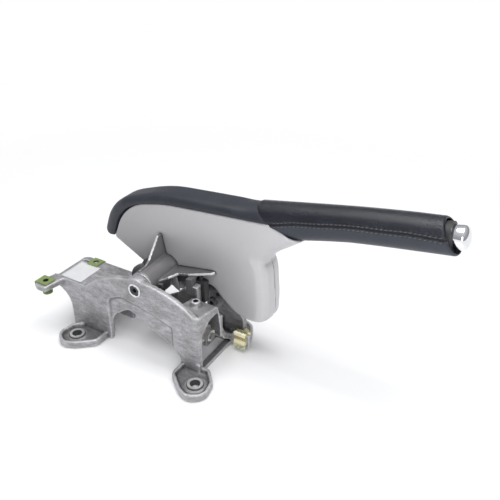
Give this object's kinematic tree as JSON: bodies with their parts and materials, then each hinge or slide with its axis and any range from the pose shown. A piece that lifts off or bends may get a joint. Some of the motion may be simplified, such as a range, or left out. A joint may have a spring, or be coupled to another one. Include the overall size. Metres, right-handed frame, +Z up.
{
  "type": "parking brake lever",
  "caption": "Car parking brake lever: leather grip with push-button release, ratchet inside a silver cover, pull rod with equaliser, on a die-cast floor bracket.",
  "frame": {"origin": "on the floor plane, midway between the two bolt holes of the near row", "axes": "+X towards the grip, +Y from the near bolt row to the lever, along the pivot shaft, +Z up from the feet"},
  "size_m": [0.3892, 0.1249, 0.1901],
  "materials": {
    "casting": "raw die-cast, mottled",
    "bright_steel": "zinc plated",
    "dark_steel": "blackened",
    "plain_steel": "plain",
    "hub_steel": "coated, brownish grey",
    "bronze": "sintered",
    "green_plating": "olive green coating",
    "gold_plating": "yellow zinc",
    "black_rubber": "matt",
    "black_plastic": "matt",
    "white_plastic": "natural",
    "silver_cover": "satin silver paint",
    "charcoal_trim": "soft touch",
    "black_leather": "fine grain, stitched seam",
    "chrome": "polished",
    "black_spring": "black coated"
  },
  "bodies": {
    "bracket": {"bracket_casting": "casting", "foot_bushes": "bright_steel", "pivot_shaft": "dark_steel", "thrust_washer": "bronze", "shaft_retainer": "dark_steel", "ratchet_sector": "plain_steel", "sector_screws": "dark_steel", "rear_clip_nuts": "green_plating", "front_clip_nut": "gold_plating", "stop_buffer": "black_rubber", "switch_body": "black_plastic"},
    "lever": {"lever_hub": "hub_steel", "hub_bushes": "bronze", "lever_arm": "plain_steel", "pawl_pin": "plain_steel", "pull_arm": "plain_steel", "grip_tube": "plain_steel", "rod_guide": "white_plastic", "cover_near": "silver_cover", "cover_far": "silver_cover", "cover_screws": "dark_steel", "top_trim": "charcoal_trim", "grip_sleeve": "black_plastic", "grip_leather": "black_leather", "grip_collar": "black_plastic", "button_spring": "plain_steel"},
    "button": {"push_button": "chrome", "release_rod": "plain_steel"},
    "pawl": {"pawl": "dark_steel"},
    "rod": {"trunnion": "plain_steel", "pull_rod": "bright_steel", "take_up_spring": "black_spring", "adjuster_washer": "bright_steel", "adjuster_nut": "bright_steel", "rod_clevis": "plain_steel", "equaliser_pin": "bright_steel"},
    "equaliser": {"equaliser_bar": "plain_steel"},
    "plunger": {"switch_plunger": "white_plastic"}
  },
  "joints": [
    {"name": "lever_pivot", "type": "hinge", "parent": "bracket", "child": "lever", "pos_m": [-0.003, 0.083, 0.074], "axis": [0, -1, 0], "range_deg": [0, 36]},
    {"name": "button_slide", "type": "slide", "parent": "lever", "child": "button", "axis": [-0.9848, 0, -0.1736], "range_m": [0, 0.006], "stiffness_N_per_m": 800, "deforming": ["button_spring"]},
    {"name": "pawl_turn", "type": "hinge", "parent": "lever", "child": "pawl", "pos_m": [0.06711, 0.083, 0.10819], "axis": [0, -1, 0], "range_deg": [0, 12]},
    {"name": "trunnion_turn", "type": "hinge", "parent": "lever", "child": "rod", "pos_m": [-0.013, 0.0425, 0.036], "axis": [0, -1, 0], "range_deg": [-36, 0]},
    {"name": "equaliser_swing", "type": "hinge", "parent": "rod", "child": "equaliser", "pos_m": [-0.06478, 0.0425, 0.0408], "axis": [0.0924, 0, 0.9957], "range_deg": [-12, 12]},
    {"name": "plunger_slide", "type": "slide", "parent": "bracket", "child": "plunger", "axis": [0, 0, 1], "range_m": [0, 0.003]}
  ],
  "couplings": [
    {"joint": "pawl_turn", "follows": "button_slide", "rad_per_m": 34.907},
    {"joint": "trunnion_turn", "follows": "lever_pivot", "ratio": -1},
    {"joint": "plunger_slide", "follows": "lever_pivot", "m_per_rad": 0.0047746}
  ]
}
